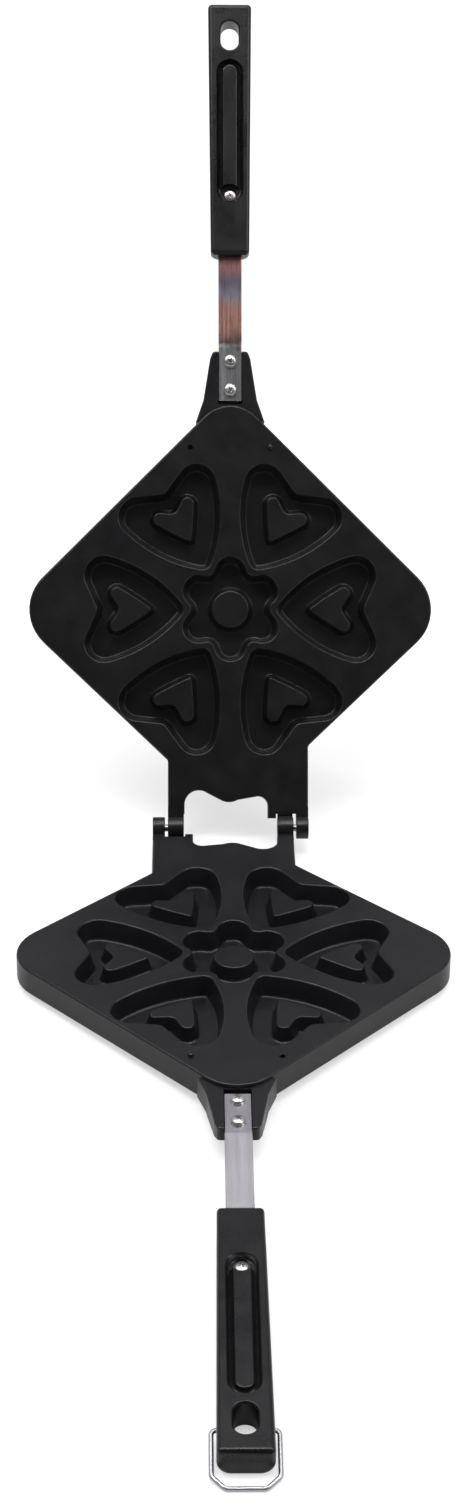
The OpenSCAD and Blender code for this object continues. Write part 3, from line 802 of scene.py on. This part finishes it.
def shared(nodes, links, fac, first, second):
    """Shader that is first where fac is 0 and second where it is 1."""
    both = nodes.new("ShaderNodeMixShader")
    links.new(fac, both.inputs["Fac"])
    links.new(first, both.inputs[1])
    links.new(second, both.inputs[2])
    return both.outputs["Shader"]


def coating(name, dark, light):
    """Non-stick coating on cast metal: fine spray texture, faint mottling."""
    mat, nodes, links, shader = material(name, dark, 0.4, specular=0.42)
    mottle = noise(nodes, links, scale=38, detail=5)
    spray = noise(nodes, links, scale=1900, detail=3)
    worn = noise(nodes, links, scale=90)
    links.new(mixed(nodes, links, mottle, dark, light), shader.inputs["Base Color"])
    links.new(mapped(nodes, links, worn, 0.27, 0.38), shader.inputs["Roughness"])
    bumped(nodes, links, shader, spray, strength=0.22, distance=0.00012)
    return mat


def phenolic(name, dark, light):
    """Moulded handle plastic with a faint grain."""
    mat, nodes, links, shader = material(name, dark, 0.34, specular=0.42)
    grain = noise(nodes, links, scale=160, detail=6)
    worn = noise(nodes, links, scale=60, detail=5)
    rough_skin = noise(nodes, links, scale=1100, detail=5)
    links.new(mixed(nodes, links, grain, dark, light), shader.inputs["Base Color"])
    links.new(mapped(nodes, links, worn, 0.22, 0.36), shader.inputs["Roughness"])
    bumped(nodes, links, shader, rough_skin, strength=0.18, distance=0.00015)
    return mat


def brushed(nodes, links, shader, rough, stretch, scale):
    """Grain of drawn or ground metal, in the roughness and as a shallow bump."""
    grain = noise(nodes, links, scale, detail=6, stretch=stretch, rough=0.7)
    links.new(mapped(nodes, links, grain, *rough), shader.inputs["Roughness"])
    bumped(nodes, links, shader, grain, strength=0.12, distance=0.0001)


def steel(name, first, second, rough, stretch, scale):
    mat, nodes, links, shader = material(name, first, 0.28, metallic=1.0)
    stain = noise(nodes, links, scale=45)
    links.new(mixed(nodes, links, stain, first, second), shader.inputs["Base Color"])
    brushed(nodes, links, shader, rough, stretch, scale)
    return mat


# Painted reflections along the upper tang from the boss out, for the surroundings it mirrors: plain steel
# grey, a dark line, copper brown, blue grey, brown
PLAIN_STEEL_GREY = (0.66, 0.66, 0.68)
PAINTED_REFLECTION_BANDS = [(0.0, PLAIN_STEEL_GREY), (0.29, PLAIN_STEEL_GREY), (0.32, (0.16, 0.11, 0.10)), (0.36, (0.50, 0.27, 0.22)),
         (0.46, (0.44, 0.23, 0.20)), (0.50, (0.30, 0.27, 0.32)), (0.56, (0.14, 0.13, 0.17)),
         (0.63, (0.34, 0.17, 0.16)), (1.0, (0.25, 0.12, 0.11))]
REFLECTION_BAND_WANDER = 0.09

# Fineness of a steel's grain along X, Y and Z
EVEN = (1, 1, 1)
ALONG_STRIP = (60, 1, 1)


def painted_reflection_steel(name):
    """Strip steel with painted reflections beyond the boss: bands of colour along it that stand in for what
    it mirrors.
    """
    mat, nodes, links, shader = material(name, PLAIN_STEEL_GREY, 0.28, metallic=1.0)
    where = nodes.new("ShaderNodeTexCoord")
    split = nodes.new("ShaderNodeSeparateXYZ")
    links.new(where.outputs["Generated"], split.inputs["Vector"])
    wander = nodes.new("ShaderNodeMath")
    wander.operation = "MULTIPLY_ADD"
    wander.inputs[1].default_value = REFLECTION_BAND_WANDER
    links.new(noise(nodes, links, scale=110), wander.inputs[0])
    links.new(split.outputs["Z"], wander.inputs[2])
    ramp = nodes.new("ShaderNodeValToRGB")
    ramp.color_ramp.elements[1].position = PAINTED_REFLECTION_BANDS[-1][0]
    for position, colour in PAINTED_REFLECTION_BANDS[1:-1]:
        ramp.color_ramp.elements.new(position).color = (*colour, 1)
    ramp.color_ramp.elements[0].color = (*PAINTED_REFLECTION_BANDS[0][1], 1)
    ramp.color_ramp.elements[-1].color = (*PAINTED_REFLECTION_BANDS[-1][1], 1)
    links.new(wander.outputs["Value"], ramp.inputs["Fac"])
    links.new(ramp.outputs["Color"], shader.inputs["Base Color"])
    brushed(nodes, links, shader, (0.22, 0.36), ALONG_STRIP, 14)
    return mat


# Both halves have the same coating. The lower copy is painted lighter and the upper copy darker: painted
# light and shade for the lower deck's brighter reflection.
plate_low_painted_lighter = coating("plate_coating_lower_painted_light", (0.0038, 0.0037, 0.0046), (0.0068, 0.0067, 0.008))
plate_up_painted_darker = coating("plate_coating_upper_painted_shade", (0.0032, 0.0032, 0.0037), (0.0056, 0.0056, 0.0063))
grip = phenolic("handle_plastic", (0.002, 0.002, 0.0023), (0.0045, 0.0045, 0.005))
# The lower tang is the same strip steel as the upper one, with its base colour painted darker to dim the
# lamp's reflection on it: painted shade.
tang_low_painted_darker = steel("tang_steel_lower_painted_shade", (0.52, 0.51, 0.53), (0.59, 0.58, 0.60), (0.26, 0.38), ALONG_STRIP, 14)
# The upper tang's coloured bands are painted reflections.
tang_up_painted_reflections = painted_reflection_steel("tang_steel_upper_painted_reflections")
screw_steel = steel("screw_steel", (0.56, 0.55, 0.54), (0.66, 0.65, 0.64), (0.28, 0.4), EVEN, 400)
washer_steel = steel("washer_steel", (0.5, 0.5, 0.49), (0.6, 0.6, 0.58), (0.25, 0.38), EVEN, 300)
pin_steel = steel("pin_steel", (0.42, 0.42, 0.42), (0.55, 0.55, 0.55), (0.25, 0.4), (1, 40, 40), 30)
wire = steel("wire_steel", (0.46, 0.46, 0.48), (0.55, 0.55, 0.57), (0.34, 0.46), (30, 30, 2), 20)

# Putting the iron together. The halves share their shapes, and each screw and washer is turned
# its own way.

cast = casting()
placed(cast, "lower_casting", plate_low_painted_lighter, LOWER, "lower_half", ["lower_plate"])
placed(cast, "upper_casting", plate_up_painted_darker, UPPER, "upper_half", ["upper_plate"])

lower_grip = handle(bail_holes=True)
upper_grip = handle(bail_holes=False)
placed(lower_grip, "lower_grip", grip, LOWER @ ON_HANDLE, "lower_half", ["lower_handle"])
placed(upper_grip, "upper_grip", grip, UPPER @ ON_HANDLE, "upper_half", ["upper_handle"])

strip = tang()
placed(strip, "lower_strip", tang_low_painted_darker, LOWER, "lower_half", ["lower_tang"])
placed(strip, "upper_strip", tang_up_painted_reflections, UPPER, "upper_half", ["upper_tang"])

tang_screw = screw(TANG_SCREW_LEN)
grip_screw = screw(GRIP_SCREW_LEN)
washer = spring_washer()
for half, place in (("lower", LOWER), ("upper", UPPER)):
    body = half + "_half"
    for k, which in enumerate(("inner", "outer")):
        y = -TANG_Y - SCREWS[k]
        seat = place @ shift(0, y, -TANG_D + WASHER_T) @ turn(30 * k, "Z")
        rest = place @ shift(0, y, -TANG_D) @ turn(140 + 70 * k, "Z")
        placed(tang_screw, f"{half}_pan_screw_{which}", screw_steel, seat, body,
               [f"{half}_tang_screw_{which}"])
        placed(washer, f"{half}_spring_washer_{which}", washer_steel, rest, body,
               [f"{half}_washer_{which}"])
    seat = place @ ON_HANDLE @ shift(0, -HANDLE_SCREW, -SOCKET_D)
    placed(grip_screw, f"{half}_grip_screw", screw_steel, seat, body,
           [f"{half}_handle_screw"])

placed(bail(), "wire_bail", wire, BAIL, "bail", ["latch_bail"], sharp=50)
for name in ("hinge_pin_left", "hinge_pin_right"):
    frame["nodes"][name].data.materials.clear()
    frame["nodes"][name].data.materials.append(pin_steel)

# The shapes that the pieces were copied from are still named solid, and aren't needed any more
for obj in list(bpy.data.objects):
    if obj.type == "MESH" and obj.name.startswith("solid"):
        bpy.data.objects.remove(obj)

# Stage and light, in metres

FLOOR_HALF = 6
FLOOR_WHITE = 0.93
FLOOR_CLOUD = 0.01
LAMP_TARGET = (0, 0, 0.1)
# Name, place, size and power of each lamp
LAMPS = [("key", (-1.0, 0.0, 1.9), (0.9, 0.9), 15),
         ("fill", (1.4, -0.4, 1.5), (0.7, 1.2), 10),
         ("back", (0.3, 0.6, 2.3), (1.8, 0.3), 11),
         ("top", (0.0, -0.2, 2.2), (1.4, 0.25), 16)]


def area(name, place, size, power):
    light = bpy.data.lights.new(name, "AREA")
    light.shape = "RECTANGLE"
    light.size = size[0]
    light.size_y = size[1]
    light.energy = power
    obj = bpy.data.objects.new(name, light)
    obj.location = place
    obj.rotation_euler = (Vector(LAMP_TARGET) - Vector(place)).to_track_quat("-Z", "Y").to_euler()
    bpy.context.scene.collection.objects.link(obj)


bm = bmesh.new()
for x, y in ((-1, -1), (1, -1), (1, 1), (-1, 1)):
    bm.verts.new((x * FLOOR_HALF, y * FLOOR_HALF, 0))
bm.faces.new(bm.verts)
floor = made("floor", bm)
mat, nodes, links, shader = material("floor_paper", (FLOOR_WHITE,) * 3, 0.9)
cloud = noise(nodes, links, scale=3, detail=3)
links.new(mixed(nodes, links, cloud, (FLOOR_WHITE - FLOOR_CLOUD,) * 3, (FLOOR_WHITE + FLOOR_CLOUD,) * 3),
          shader.inputs["Base Color"])
# Half of what the camera sees of the floor is even white, which lightens the shadows on it,
# and reflections see the floor darker, as they do the world
paths = nodes.new("ShaderNodeLightPath")
surface = shader.outputs["BSDF"]
for ray, part, strength in (("Is Camera Ray", 0.5, 1.0), ("Is Glossy Ray", 0.55, 0.2)):
    glow = nodes.new("ShaderNodeEmission")
    glow.inputs["Strength"].default_value = strength
    share = nodes.new("ShaderNodeMath")
    share.operation = "MULTIPLY"
    share.inputs[1].default_value = part
    links.new(paths.outputs[ray], share.inputs[0])
    surface = shared(nodes, links, share.outputs["Value"], surface, glow.outputs["Emission"])
links.new(surface, nodes["Material Output"].inputs["Surface"])
floor.data.materials.append(mat)

for name, place, size, power in LAMPS:
    area(name, place, size, power)

# White world. Reflections see it grey instead, dark on the side of -Y and lighter on that of +Y.
world = bpy.data.worlds.new("studio")
bpy.context.scene.world = world
world.use_nodes = True
nodes = world.node_tree.nodes
links = world.node_tree.links
nodes.clear()
out = nodes.new("ShaderNodeOutputWorld")
paths = nodes.new("ShaderNodeLightPath")
seen = nodes.new("ShaderNodeBackground")
seen.inputs["Color"].default_value = (1, 1, 1, 1)
seen.inputs["Strength"].default_value = 1.0
mirrored = nodes.new("ShaderNodeBackground")
mirrored.inputs["Color"].default_value = (0.62, 0.61, 0.66, 1)
side = nodes.new("ShaderNodeTexCoord")
parts = nodes.new("ShaderNodeSeparateXYZ")
links.new(side.outputs["Generated"], parts.inputs["Vector"])
links.new(mapped(nodes, links, parts.outputs["Y"], low=0.06, high=0.7, start=-0.8, stop=0.7),
          mirrored.inputs["Strength"])
links.new(shared(nodes, links, paths.outputs["Is Glossy Ray"], seen.outputs["Background"],
                 mirrored.outputs["Background"]), out.inputs["Surface"])

# Camera, fitted to the photograph in the frame of the lower half
CAMERA_AT = (-24.6, -1311.3, 799.3)
PITCH = 29.68
YAW = 1.03
ROLL = -0.5
SENSOR = 36.0
FOCAL_PIXELS = 2657.1
FRAME_PIXELS = 1500

pitch = math.radians(PITCH)
yaw = math.radians(YAW)
roll = math.radians(ROLL)
forward = Vector((math.sin(yaw) * math.cos(pitch), math.cos(yaw) * math.cos(pitch), -math.sin(pitch)))
right = Vector((math.cos(yaw), -math.sin(yaw), 0))
down = forward.cross(right)
across = math.cos(roll) * right + math.sin(roll) * down
fall = -math.sin(roll) * right + math.cos(roll) * down
place = STAND @ shift(*CAMERA_AT) @ Matrix((across, -fall, -forward)).transposed().to_4x4()
lens = bpy.data.cameras.new("camera")
lens.sensor_width = SENSOR
lens.lens = FOCAL_PIXELS * SENSOR / FRAME_PIXELS
camera = bpy.data.objects.new("camera", lens)
bpy.context.scene.collection.objects.link(camera)
camera.matrix_world = Matrix.Translation(place.translation * MM) @ place.to_3x3().to_4x4()
bpy.context.scene.camera = camera
bpy.context.scene.view_settings.view_transform = "Standard"
